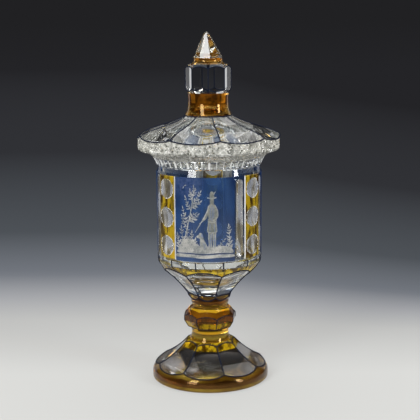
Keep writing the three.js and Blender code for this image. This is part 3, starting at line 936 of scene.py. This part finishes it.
def make_dome():
    _, top, radius = span("cover_dome")
    petals = dome_petals(turn_angles(720, COVER_RIDGE))
    dome = Turning(petals.angles)
    lip = BOWL_INNER_RADIUS - LIP["clearance"]
    lip_end = COVER_SEAT - LIP["depth"]
    foot = (lip - LIP["wall"], COVER_SEAT + DOME_CAVITY["foot"])
    hollow = bowed((DOME_CAVITY["top_radius"], top), foot, DOME_CAVITY["hollow"], 0.4, steps=20)
    dome.path(hollow, "cover_inside")
    corner = (foot[0], lip_end + LIP["edge"]), (foot[0], lip_end), (foot[0] + LIP["edge"], lip_end)
    dome.path([*curve(*corner, steps=5), (lip, lip_end)])
    seat, under = on_seat((FLANGE["seat"], SEAT_GAP)), on_seat(FLANGE["under"])
    dome.path([(lip, seat[1]), seat])
    edge = joined(
        bowed(seat, under, -FLANGE["hollow"], steps=18),
        bowed(under, (radius, petals.low), 0.5, steps=8)[1:],
    )
    travelled = np.cumsum(np.hypot(*np.diff(edge, axis=0).T))
    for (reach, height), along in zip(edge[1:], travelled):
        cut = diamond_cut(petals.angles, along) * min(along / 2, 1)
        dome.row(reach - cut, height, "flange_underside_painted_sparkle_and_shade")
    for reach, z in petals.below(10):
        fade = np.clip((petals.toe - z) / DIAMOND["fade"], 0, 1)
        dome.row(reach - diamond_cut(petals.angles, travelled[-1] + z - petals.low) * fade, z, "flange_painted_sparkle")
    dome.path(petals.on_flats(36))
    dome.row(DOME_CAVITY["top_radius"], top, FUSED)
    weld(dome.make("cover_dome", "cover", "cut_glass"))


def weld(piece, distance=1e-6):
    """Joins rows that lie on each other, so that the surface closes."""
    mesh = bmesh.new()
    mesh.from_mesh(piece.data)
    bmesh.ops.remove_doubles(mesh, verts=mesh.verts, dist=distance)
    mesh.to_mesh(piece.data)
    mesh.free()


def neck_petals(angles):
    base, top, _ = span("cover_neck")
    side = ((22.4, 0), (21.0, 2.4), (19.9, 5), (19.0, 8.5), (18.6, 12), (18.7, 16))
    blank = joined(*((radius, base + rise) for radius, rise in side), (NECK_TOP, top))
    return Petals(angles, blank, dome_flats(), 60, COVER_RIDGE, COVER_PETALS)


def make_cover_neck():
    base, top, _ = span("cover_neck")
    petals = neck_petals(turn_angles(288, COVER_RIDGE))
    neck = Turning(petals.angles)
    foot, head = DOME_CAVITY["top_radius"], base + NECK_HOLLOW
    neck.path(curve((0, head), (foot, head), (foot, base), steps=14), "amber_neck")
    neck.row(radius_at(petals.flats, base) * petals.stretch, base, FUSED)
    neck.path([*petals.on_flats(6), *petals.above(26), (COVER_KNOP["end"], top)], "amber_neck")
    neck.end(COVER_KNOP["end"], top)
    neck.make("cover_neck", "cover", "amber_glass")


def cover_knop_petals(angles):
    base, top, _ = span("cover_knop")
    barrel, end, bevel = COVER_KNOP["corner"] + 0.4, COVER_KNOP["end"], COVER_KNOP["bevel"]
    blank = joined((end, base), (barrel, base + bevel), (barrel, top - bevel), (end, top))
    flat = COVER_KNOP["corner"] * math.cos(math.pi / GOBLET_PETALS)
    return Petals(angles, blank, joined((flat, base - 1), (flat, top + 1)), 4, COVER_KNOP_RIDGE)


def make_cover_knop():
    base, top, _ = span("cover_knop")
    petals = cover_knop_petals(turn_angles(256, COVER_KNOP_RIDGE))
    knop = Turning(petals.angles)
    knop.start(COVER_KNOP["end"], base)
    knop.path([*petals.below(6), *petals.on_flats(6), *petals.above(6), (SPIRE["flare"], top)])
    knop.end(SPIRE["flare"], top)
    knop.make("cover_knop", "cover", "cut_glass")


def make_spire():
    base, top, _ = span("cover_spire")
    angles = turn_angles(64, SPIRE_RIDGE)
    shelf = base + SPIRE["neck_height"]
    stretch = flats_stretch(angles, GOBLET_PETALS, SPIRE_RIDGE) * math.cos(math.pi / GOBLET_PETALS)
    spire = Turning(angles)
    spire.start(SPIRE["flare"], base)
    side = bowed((SPIRE["flare"], base), (SPIRE["neck"], shelf - 0.4), -SPIRE["neck_height"] / 3, steps=12)
    spire.path([*side[1:], (SPIRE["neck"], shelf)], "amber_neck")
    for share in np.linspace(0, 1, 13):
        radius = SPIRE["radius"] + (SPIRE["tip"] - SPIRE["radius"]) * share
        spire.row(radius * stretch, shelf + (top - SPIRE["tip_height"] - shelf) * share, "straw_glass")
    spire.row(0, top, "straw_glass")
    spire.make("cover_spire", "cover", "spire_glass", SPIRE_LEAN)


# Drawn contour lines

LINE_SIDES = 6
BAND_TICKS = 12
FINE_LINE = 0.7


def line_rings(points, closed, width):
    """A ring of corners round each point of a line, its first corner facing away from the axis."""
    if closed:
        along = np.roll(points, -1, axis=0) - np.roll(points, 1, axis=0)
    else:
        along = np.gradient(points, axis=0)
    along /= np.linalg.norm(along, axis=1, keepdims=True)
    out = points * (1, 1, 0)
    out -= along * np.sum(out * along, axis=1, keepdims=True)
    out /= np.linalg.norm(out, axis=1, keepdims=True)
    turn = (np.arange(LINE_SIDES) * FULL_TURN / LINE_SIDES)[:, None]
    ring = np.cos(turn) * out[:, None] + np.sin(turn) * np.cross(along, out)[:, None]
    return points[:, None] + width / 2 * ring


def make_lines(name, lines, width, body):
    """Thin raised enamel lines along runs of points, each given with whether it closes on itself."""
    verts, faces = [], []
    for points, closed in lines:
        rings = len(verts) + np.arange(len(points) * LINE_SIDES).reshape(-1, LINE_SIDES)
        verts.extend(line_rings(points, closed, width).reshape(-1, 3))
        faces += quads(np.pad(rings, ((0, int(closed)), (0, 1)), "wrap").T)
        if not closed:
            faces += [rings[0].tolist(), rings[-1, ::-1].tolist()]
    dress(mesh_object(name, verts, faces, ["line_enamel"] * len(faces), sharp=math.pi), body)


def band_ticks():
    """Short upright lines across the band at the shoulder of the bowl."""
    top = BOWL_BASE + SHOULDER["top"]
    heights = np.linspace(top - SHOULDER["band"] - 2, top, 10)
    radii = radius_at(cone_petals(turn_angles(8)).blank, heights)
    turns = np.radians(repeated(GOBLET_RIDGE, BAND_TICKS))
    return [(points_round(turn, radii, heights), False) for turn in turns]


# The engraved hunting scene, drawn on the front panel: millimetres to the right of the
# panel's middle and above its lower edge. A tone is a depth of cutting, with its own finish and its own
# height of plate above the glass.

FROSTED, DEEP, HALF = range(3)
TONES = ("frosted_cut", "deep_cut", "half_cut")
PLATE_LIFT = (0.12, 0.17, 0.08)
PLATE_DEPTH = 0.22
SLAB = 2.0


def flowing(points, closed, steps=4):
    """A smooth run through given points."""
    ends, mode = ((1, 2), "wrap") if closed else ((1, 1), "edge")
    p = np.pad(np.array(points, float), (ends, (0, 0)), mode)
    t = (np.arange(steps) / steps)[:, None]
    run = []
    for a, b, c, d in zip(p, p[1:], p[2:], p[3:]):
        bend = (2 * a - 5 * b + 4 * c - d) * t**2 + (3 * b - a - 3 * c + d) * t**3
        run.extend(0.5 * (2 * b + (c - a) * t + bend))
    return np.array(run if closed else [*run, p[-1]])


def heading(step):
    """Direction of a step, in degrees."""
    return math.degrees(math.atan2(step[1], step[0]))


class Drawing:
    """Shapes of several tones, kept as flat outlines."""

    def __init__(self):
        self.shapes = []
        self.middle, self.share = 0.0, 1.0

    def narrowed(self, middle, share):
        """Narrows what is drawn from now on, about an upright line."""
        self.middle, self.share = middle, share

    def keep(self, outline, tone):
        outline = np.array(outline, float)
        outline[:, 0] = self.middle + (outline[:, 0] - self.middle) * self.share
        self.shapes.append((outline, tone))

    def fill(self, points, tone=FROSTED):
        self.keep(flowing(points, True), tone)

    def stroke(self, points, start, end, tone=FROSTED):
        """A line that tapers from one width to another."""
        run = flowing(points, False)
        along = np.gradient(run, axis=0)
        along /= np.hypot(along[:, 0], along[:, 1])[:, None]
        side = np.stack([-along[:, 1], along[:, 0]], axis=1) * np.linspace(start, end, len(run))[:, None] / 2
        self.keep(np.concatenate([run + side, (run - side)[::-1]]), tone)

    def leaf(self, root, angle, length, width, tone=FROSTED):
        turn = math.radians(angle)
        along = np.array((math.cos(turn), math.sin(turn))) * length
        side = np.array((-math.sin(turn), math.cos(turn))) * width / 2
        shape = ((0, 0), (0.3, 1), (0.65, 0.85), (1, 0), (0.65, -0.85), (0.3, -1))
        self.keep([np.array(root, float) + along * a + side * b for a, b in shape], tone)

    def spray(self, points, width, pairs, size):
        """A twig with leaves in pairs along it and one at its tip."""
        self.stroke(points, width, 0.25)
        run = flowing(points, False, 12)
        for i in range(pairs):
            at = int((0.18 + 0.8 * i / pairs) * (len(run) - 1))
            angle = heading(run[min(at + 1, len(run) - 1)] - run[max(at - 1, 0)])
            for side in (1, -1):
                length = size * (1 - 0.35 * i / pairs) * (1 + 0.18 * math.sin(5 * i + 2 * side))
                self.leaf(run[at], angle + side * (52 + 12 * math.sin(3 * i + side)), length, length * 0.27)
        tip = run[-1] - run[-3]
        self.leaf(run[-1] - tip, heading(tip), size, size * 0.3)

    def make(self, name, middle, surface, base):
        """Wraps the drawing round the bowl as thin closed plates."""
        sheet = bmesh.new()
        for outline, tone in self.shapes:
            face = sheet.faces.new([sheet.verts.new((u, 0, v)) for u, v in outline])
            face.material_index = tone
            face.normal_update()
            if face.normal.y > 0:
                face.normal_flip()
        bmesh.ops.triangulate(sheet, faces=sheet.faces[:])
        half = math.radians(PANEL_HALF) * surface
        for u in np.arange(-half, half, SLAB):
            everything = sheet.verts[:] + sheet.edges[:] + sheet.faces[:]
            bmesh.ops.bisect_plane(sheet, geom=everything, plane_co=(u, 0, 0), plane_no=(1, 0, 0))
        for vert in sheet.verts:
            radius = surface + PLATE_LIFT[vert.link_faces[0].material_index]
            vert.co = points_round(math.radians(middle) + vert.co.x / surface, radius, base + vert.co.z)
        bmesh.ops.solidify(sheet, geom=sheet.faces[:], thickness=PLATE_DEPTH)
        bmesh.ops.scale(sheet, vec=(MM, MM, MM), verts=sheet.verts)
        mesh = bpy.data.meshes.new(name)
        sheet.to_mesh(mesh)
        sheet.free()
        for tone in TONES:
            mesh.materials.append(finish(tone))
        return add_object(name, mesh)


def draw_ground(art):
    """A mound, higher on the left, with a bright line under it and grass on top."""
    art.fill(
        [(-26.5, 8), (-25, 12.5), (-21.5, 18.5), (-17, 21.5), (-12, 20.5), (-8, 17.6), (-3, 14.6), (4, 13.6)]
        + [(11, 14.6), (17, 15.2), (22, 13.6), (26, 11.6), (26.6, 8), (14, 8.6), (0, 7.8), (-14, 8.4)]
    )
    line = [(-27, 6.6), (-14, 7.2), (0, 6.6), (14, 7.2), (27, 6.6)]
    art.fill(line + [(27, 4), (14, 4.2), (0, 3.4), (-14, 4.2), (-27, 4)])
    for i in range(30):
        u = -25.5 + i * 1.75
        top = 20.5 - 0.09 * (u + 15) ** 2 if u < -9 else 13.8
        art.leaf((u, max(top - 1.5, 8)), 90 + 22 * math.sin(2.3 * i), 3.6 + 1.4 * math.sin(1.7 * i + 1), 1.0)


def draw_tree(art):
    art.stroke([(-18.2, 22), (-16, 32), (-13.2, 43), (-11.6, 52), (-10.4, 60), (-9.8, 66)], 1.0, 0.5)
    boughs = [
        ([(-15.6, 35), (-18.4, 42), (-20.4, 49.5)], 5, 3.4),
        ([(-16.2, 32), (-20, 36), (-21.6, 42)], 4, 3.0),
        ([(-14.4, 37.5), (-10, 39.5), (-6, 43.6)], 5, 3.6),
        ([(-14, 39), (-11, 43), (-8.2, 45)], 3, 3.0),
        ([(-12.4, 48), (-15.4, 53), (-17.6, 59.5)], 5, 3.2),
        ([(-12, 50), (-8.4, 52), (-3.8, 55.6)], 6, 3.6),
        ([(-11.4, 53), (-7, 58), (-3.4, 64.6)], 6, 3.6),
        ([(-10.8, 57), (-12.8, 61.5), (-13, 66)], 4, 3.0),
        ([(-10.2, 60), (-9, 65), (-9.4, 69)], 4, 3.2),
    ]
    for points, pairs, size in boughs:
        art.spray(points, 0.5, pairs, size)
    for u, v, turn in ((-20.2, 67.6, 60), (-18.6, 70, 25)):
        art.leaf((u, v), turn, 2.6, 0.8)


def draw_shrubs(art):
    shrubs = (-24, 13, -2.4), (-20.5, 20, -1.4), (-17, 21, 1.4), (-12.4, 16, 0.8), (-10, 9, 1.4)
    for u, height, lean in shrubs:
        art.spray([(u, 11), (u + lean * 0.4, 11 + height * 0.5), (u + lean, 11 + height)], 0.7, 6, 4.2)
    art.spray([(13, 13), (15.6, 17.4), (18.6, 20.6)], 0.5, 3, 2.4)
    art.spray([(24.0, 10), (23.4, 20), (22.6, 33)], 0.8, 9, 4.2)


def draw_hunter(art):
    """Coat, head and hat in half-deep cutting, edged and folded with lines; no features to the face."""
    art.narrowed(2.1, 0.74)
    for u, v in ((4.4, 21.5), (9.7, 21.5)):
        leg = [(u - 0.6, 11), (u + 3.8, 11), (u + 3.6, 13.2), (u + 3.4, v), (u + 3.8, 27.6)]
        leg += [(u, 27.6), (u, v), (u + 0.8, 14)]
        art.fill(leg, HALF)
        art.stroke(leg[:2], 0.8, 0.8)
        for edge in (leg[2:5], leg[5:8]):
            art.stroke(edge, 0.6, 0.6)
        art.stroke([(u + 2.2, 26), (u + 2.1, 20), (u + 2, 14.4)], 0.7, 0.7, DEEP)
        art.stroke([(u, 20.4), (u + 3.4, 20)], 0.5, 0.5, DEEP)
    coat = [(2.6, 28.6), (8.6, 27.4), (14.8, 28.4), (13.8, 36), (13.0, 41), (14.2, 48), (12.6, 53)]
    coat += [(8.8, 54.2), (5.2, 53), (3.4, 48), (4.6, 41), (3.9, 35)]
    head = [(7.2, 53), (10.4, 53), (11.4, 56.4), (10.8, 59.4), (8.8, 60.2), (6.8, 59.2), (6.2, 56.4)]
    crown = [(6.4, 59.6), (11.4, 59.6), (11.2, 64), (8.8, 65.6), (6.6, 64)]
    left_arm = [(5.6, 52), (3.0, 48.6), (-0.2, 42.8), (-2.4, 40), (-1.2, 38.6), (2.2, 41), (5, 45.6)]
    left_arm += [(6.6, 50)]
    right_arm = [(12.4, 52), (15.6, 48), (16.0, 43), (13.4, 38.8), (10.6, 38.8), (10.4, 40.6)]
    right_arm += [(12.8, 42), (12.2, 46.6)]
    for shape in (coat, head, crown, left_arm, right_arm):
        art.fill(shape, HALF)
    bright = [
        ([(3.0, 59.8), (8.8, 59.0), (14.4, 60.0)], 1.0),
        (coat[:3], 0.9),
        ([(12.6, 53), (15.8, 48), (16.2, 43), (14.2, 39.4), (14.4, 33), (14.9, 28.6)], 0.6),
        ([(4.4, 52.4), (3.2, 48), (-0.4, 42.6), (-2.2, 40)], 0.5),
        ([(4.2, 40.5), (4.0, 35), (2.8, 29)], 0.5),
        ([(4.4, 37.8), (8.9, 37), (13.4, 38)], 0.8),
        ([(9.6, 39.2), (12.6, 39.6), (14, 41.6)], 0.5),
    ]
    for points, width in bright:
        art.stroke(points, width, width)
    art.leaf((10.6, 62), 52, 4.6, 1.1)
    art.stroke([(4.0, 48.5), (-3.4, 38.4), (-12.2, 27.6)], 1.3, 0.6)
    art.stroke([(0.4, 44), (-1.6, 38.8), (-6.4, 36.2)], 0.5, 0.5)
    folds = [
        [(7.0, 51), (6.6, 45), (7.2, 39.6)],
        [(11.0, 51), (11.2, 46), (10.8, 41)],
        [(8.9, 53), (9.1, 46), (8.8, 38)],
        [(6.4, 35.6), (6.0, 31), (6.3, 28.6)],
        [(11.4, 35.6), (12.0, 31), (11.9, 28.6)],
    ]
    for points in folds:
        art.stroke(points, 0.7, 0.6, DEEP)
    art.narrowed(0.0, 1.0)


def draw_dog(art):
    art.fill(
        [(-7.4, 24.2), (-5.2, 25.6), (-4.2, 27.2), (-2.2, 27.0), (-1.3, 24.6), (-0.6, 21.4), (1.6, 17.4)]
        + [(2.6, 13.4), (1.8, 10.8), (-1.6, 10.8), (-1.9, 13.6), (-2.6, 10.9), (-4.6, 10.9), (-3.7, 14)]
        + [(-4.3, 18), (-4.0, 21.8), (-6.6, 22.8)]
    )
    art.stroke([(1.8, 11.8), (4.0, 12.4), (5.2, 15.2)], 0.9, 0.4)
    art.stroke([(-1.2, 17.6), (0.4, 15.8), (0.4, 12.4)], 0.5, 0.5, DEEP)
    art.leaf((-2.6, 26.4), -75, 3.4, 1.3, DEEP)


def make_engraving():
    art = Drawing()
    for draw in (draw_ground, draw_tree, draw_shrubs, draw_hunter, draw_dog):
        draw(art)
    piece = art.make("hunting_scene", PANEL_ANGLE, BowlWall.outside, BowlWall.bottom)
    dress(piece, "goblet", "blue_glass")


# Studio: metres, degrees and watts

FLOOR_HALF = 7.0
FLOOR_DROP = 0.0002
ROOM_TONES = ((0.0, (36, 36, 39)), (0.479, (36, 36, 39)), (0.5, (33, 33, 35)), (1.0, (32, 32, 34)))
ROOM_FILL = (0.55, 0.56, 0.58)
CAMERA_PLACE = (0.00076, -0.9694, 0.338)
CAMERA_DIP = 10.256
CAMERA_ROLL = 0.45
PHOTO_SIZE = 420
FOCAL_PIXELS = 1035.13


def make_floor():
    half, drop = FLOOR_HALF / MM, FLOOR_DROP / MM
    corners = [(x * half, y * half, -drop) for x, y in ((-1, -1), (1, -1), (1, 1), (-1, 1))]
    # The floor carries the paper's painted light
    mesh_object("studio_floor", corners, [(0, 1, 2, 3)], ["studio_paper"])


def make_room():
    """A dark room that a faint even light fills. Camera, glossy and passing rays see it dark."""
    world = bpy.data.worlds.new("studio_room")
    bpy.context.scene.world = world
    g = Graph(world)
    way = g.node("ShaderNodeTexCoord", output="Generated")
    up = g.node("ShaderNodeSeparateXYZ", {0: way}, output="Z")
    stops = [(place, srgb(tone)) for place, tone in ROOM_TONES]
    seen = g.node("ShaderNodeValToRGB", {0: (up * 0.5 + 0.5).clamped()}, stops=stops)
    camera, glossy, passing = g.node(
        "ShaderNodeLightPath", output=("Is Camera Ray", "Is Glossy Ray", "Is Transmission Ray")
    )
    colour = g.mix_colour(camera.most(glossy).most(passing), ROOM_FILL, seen)
    g.close(g.node("ShaderNodeBackground", {"Color": colour, "Strength": 1.0}), "ShaderNodeOutputWorld")


def softbox(name, place, aim, size, power):
    """A rectangular softbox, turned to face a point."""
    lamp = bpy.data.lights.new(name, "AREA")
    lamp.shape, lamp.energy = "RECTANGLE", power
    lamp.size, lamp.size_y = size
    piece = add_object(name, lamp)
    piece.location = place
    piece.rotation_euler = (Vector(aim) - Vector(place)).to_track_quat("-Z", "Y").to_euler()
    piece.visible_camera = False


def upright_softbox(name, power, azimuth, distance, low, high, width):
    """A softbox that stands at an azimuth from the front, between two heights."""
    middle = (low + high) / 2
    place = points_round(math.radians(azimuth), distance, middle)
    softbox(name, place, (0, 0, middle - 0.15), (width, high - low), power)


def make_camera():
    data = bpy.data.cameras.new("photo_camera")
    data.sensor_width = 36.0
    data.lens = data.sensor_width * FOCAL_PIXELS / PHOTO_SIZE
    camera = add_object("photo_camera", data)
    camera.location = CAMERA_PLACE
    level = Euler((math.radians(90 - CAMERA_DIP), 0, 0)).to_quaternion()
    camera.rotation_euler = (level @ Quaternion((0, 0, 1), -math.radians(CAMERA_ROLL))).to_euler()
    bpy.context.scene.camera = camera


# Settings that a user would change


def colour_setting(name, description, *default):
    return FloatVectorProperty(name=name, description=description, subtype="COLOR", default=default)


def power_setting(name, description, default):
    return FloatProperty(name=name, description=description, default=default, unit="POWER", min=0.0)


class GobletColours(PropertyGroup):
    clear: colour_setting("Clear glass", "Colour of the clear glass", 0.96, 0.975, 0.97)
    # Grey of the foot glass, partly painted shade
    foot_grey_and_painted_shade: colour_setting("Foot glass", "Clear glass where it is thick", 0.58, 0.565, 0.555)
    straw: colour_setting("Spire glass", "Faint straw colour of the finial", 0.95, 0.9, 0.74)
    amber: colour_setting("Amber", "Amber stain where it is thin", 0.52, 0.29, 0.012)
    deep_amber: colour_setting("Deep amber", "Amber stain where it is thick", 0.2, 0.075, 0.004)
    relief: colour_setting("Relief amber", "Stain on the columns and the cone", 0.85, 0.55, 0.014)
    deep_relief: colour_setting("Deep relief amber", "The same stain, thicker", 0.09, 0.042, 0.002)
    rim: colour_setting("Rim amber", "Deep stain on the edge of the foot", 0.16, 0.04, 0.003)
    neck: colour_setting("Neck amber", "Orange stain of the cover's neck", 0.7, 0.26, 0.014)
    stem: colour_setting("Stem amber", "Colour of the stem's glass", 1.0, 0.6, 0.02)
    knop: colour_setting("Knop amber", "Colour of the stem knop's glass", 0.35, 0.105, 0.006)
    blue: colour_setting("Blue", "Blue layer where it is thin", 0.03, 0.09, 0.26)
    deep_blue: colour_setting("Deep blue", "Blue layer where it is thick", 0.01, 0.032, 0.11)
    enamel: colour_setting("Line enamel", "Colour of the contour lines", 0.004, 0.006, 0.014)


class GobletSizes(PropertyGroup):
    line_width: FloatProperty(
        name="Line width", description="Width of a contour line", default=0.0012, unit="LENGTH", min=0.0001
    )


class GobletStudio(PropertyGroup):
    key_power: power_setting("Key power", "Power of the front left softbox", 34.0)
    side_power: power_setting("Side power", "Power of the front right softbox", 16.0)
    back_power: power_setting("Back power", "Power of each of the two softboxes behind", 1.0)
    top_power: power_setting("Top power", "Power of the overhead softbox", 9.0)


# Operators


class GOBLET_OT_foot(Operator):
    """Makes the spreading foot with its hollow petals"""

    bl_idname = "goblet.foot"
    bl_label = "Foot"

    def execute(self, context):
        make_foot()
        return {"FINISHED"}


class GOBLET_OT_stem(Operator):
    """Makes the stem: the waisted stem, its knop and the ring under the bowl"""

    bl_idname = "goblet.stem"
    bl_label = "Stem and knop"

    def execute(self, context):
        make_lower_stem()
        make_stem_knop()
        make_upper_stem()
        return {"FINISHED"}


class GOBLET_OT_bowl(Operator):
    """Makes the bowl with its cone, columns and fluted collar"""

    bl_idname = "goblet.bowl"
    bl_label = "Bowl"

    def execute(self, context):
        make_bowl()
        return {"FINISHED"}


class GOBLET_OT_panels(Operator):
    """Makes the three blue panels"""

    bl_idname = "goblet.panels"
    bl_label = "Blue panels"

    def execute(self, context):
        make_panels()
        return {"FINISHED"}


class GOBLET_OT_engraving(Operator):
    """Engraves the hunting scene on the front panel"""

    bl_idname = "goblet.engraving"
    bl_label = "Engraving"

    def execute(self, context):
        make_engraving()
        return {"FINISHED"}


class GOBLET_OT_cover(Operator):
    """Makes the cover: its dome and flange, neck, knop and spire"""

    bl_idname = "goblet.cover"
    bl_label = "Cover"

    def execute(self, context):
        make_dome()
        make_cover_neck()
        make_cover_knop()
        make_spire()
        return {"FINISHED"}


class GOBLET_OT_lines(Operator):
    """Lays the dark contour lines round the petals"""

    bl_idname = "goblet.lines"
    bl_label = "Contour lines"

    def execute(self, context):
        width = context.scene.goblet_sizes.line_width / MM
        angles = turn_angles(160, GOBLET_RIDGE)
        goblet = foot_petals(angles).contour() + cone_petals(angles).contour()
        goblet += ring_petals(angles).contour(heels=False) + band_ticks()
        make_lines("goblet_lines", goblet, width, "goblet")
        make_lines("knop_lines", stem_knop_petals(angles).contour(), width * FINE_LINE, "goblet")
        angles = turn_angles(180, COVER_RIDGE)
        cover = dome_petals(angles).contour(heels=False) + neck_petals(angles).contour(toes=False)
        make_lines("cover_lines", cover, width, "cover")
        knop = cover_knop_petals(turn_angles(160, COVER_KNOP_RIDGE)).contour()
        make_lines("cover_knop_lines", knop, width * FINE_LINE, "cover")
        return {"FINISHED"}


class GOBLET_OT_studio(Operator):
    """Makes the floor, the room, the lamps and the camera"""

    bl_idname = "goblet.studio"
    bl_label = "Studio"

    def execute(self, context):
        scene, studio = context.scene, context.scene.goblet_studio
        make_floor()
        make_room()
        key = {"azimuth": -37, "distance": 1.5, "low": 0.3, "high": 1.9, "width": 0.5}
        side = {"azimuth": 61, "distance": 1.5, "low": 0.3, "high": 1.2, "width": 0.27}
        back = {"distance": 1.6, "low": 0.0, "high": 1.1, "width": 0.5}
        upright_softbox("key_softbox", studio.key_power, **key)
        upright_softbox("side_softbox", studio.side_power, **side)
        upright_softbox("back_left_softbox", studio.back_power, azimuth=-142, **back)
        upright_softbox("back_right_softbox", studio.back_power, azimuth=142, **back)
        softbox("top_softbox", place=(0, 0.45, 1.3), aim=(0, 0, 0.2), size=(1.6, 1.2), power=studio.top_power)
        make_camera()
        scene.view_settings.view_transform = "Standard"
        scene.cycles.max_bounces = 32
        scene.cycles.transmission_bounces = 32
        scene.cycles.glossy_bounces = 12
        scene.cycles.transparent_max_bounces = 48
        scene.cycles.caustics_refractive = False
        scene.cycles.caustics_reflective = False
        return {"FINISHED"}


class GOBLET_PT_sidebar(Panel):
    """Lists the steps that build the goblet"""

    bl_idname = "GOBLET_PT_sidebar"
    bl_label = "Covered goblet"
    bl_space_type = "VIEW_3D"
    bl_region_type = "UI"
    bl_category = "Goblet"

    def draw(self, context):
        column = self.layout.column()
        for name, group in GROUPS.items():
            for setting in group.__annotations__:
                column.prop(getattr(context.scene, name), setting)
        for step in STEPS:
            column.operator(step.bl_idname)


STEPS = (
    GOBLET_OT_foot,
    GOBLET_OT_stem,
    GOBLET_OT_bowl,
    GOBLET_OT_panels,
    GOBLET_OT_engraving,
    GOBLET_OT_cover,
    GOBLET_OT_lines,
    GOBLET_OT_studio,
)
GROUPS = {"goblet_sizes": GobletSizes, "goblet_colours": GobletColours, "goblet_studio": GobletStudio}


def register():
    for kind in (*GROUPS.values(), *STEPS, GOBLET_PT_sidebar):
        bpy.utils.register_class(kind)
    for name, group in GROUPS.items():
        setattr(bpy.types.Scene, name, PointerProperty(type=group))


def unregister():
    for name in GROUPS:
        delattr(bpy.types.Scene, name)
    for kind in (GOBLET_PT_sidebar, *reversed(STEPS), *GROUPS.values()):
        bpy.utils.unregister_class(kind)


def main():
    register()
    for step in STEPS:
        getattr(bpy.ops.goblet, step.bl_idname.split(".")[1])()


if __name__ == "__main__":
    main()
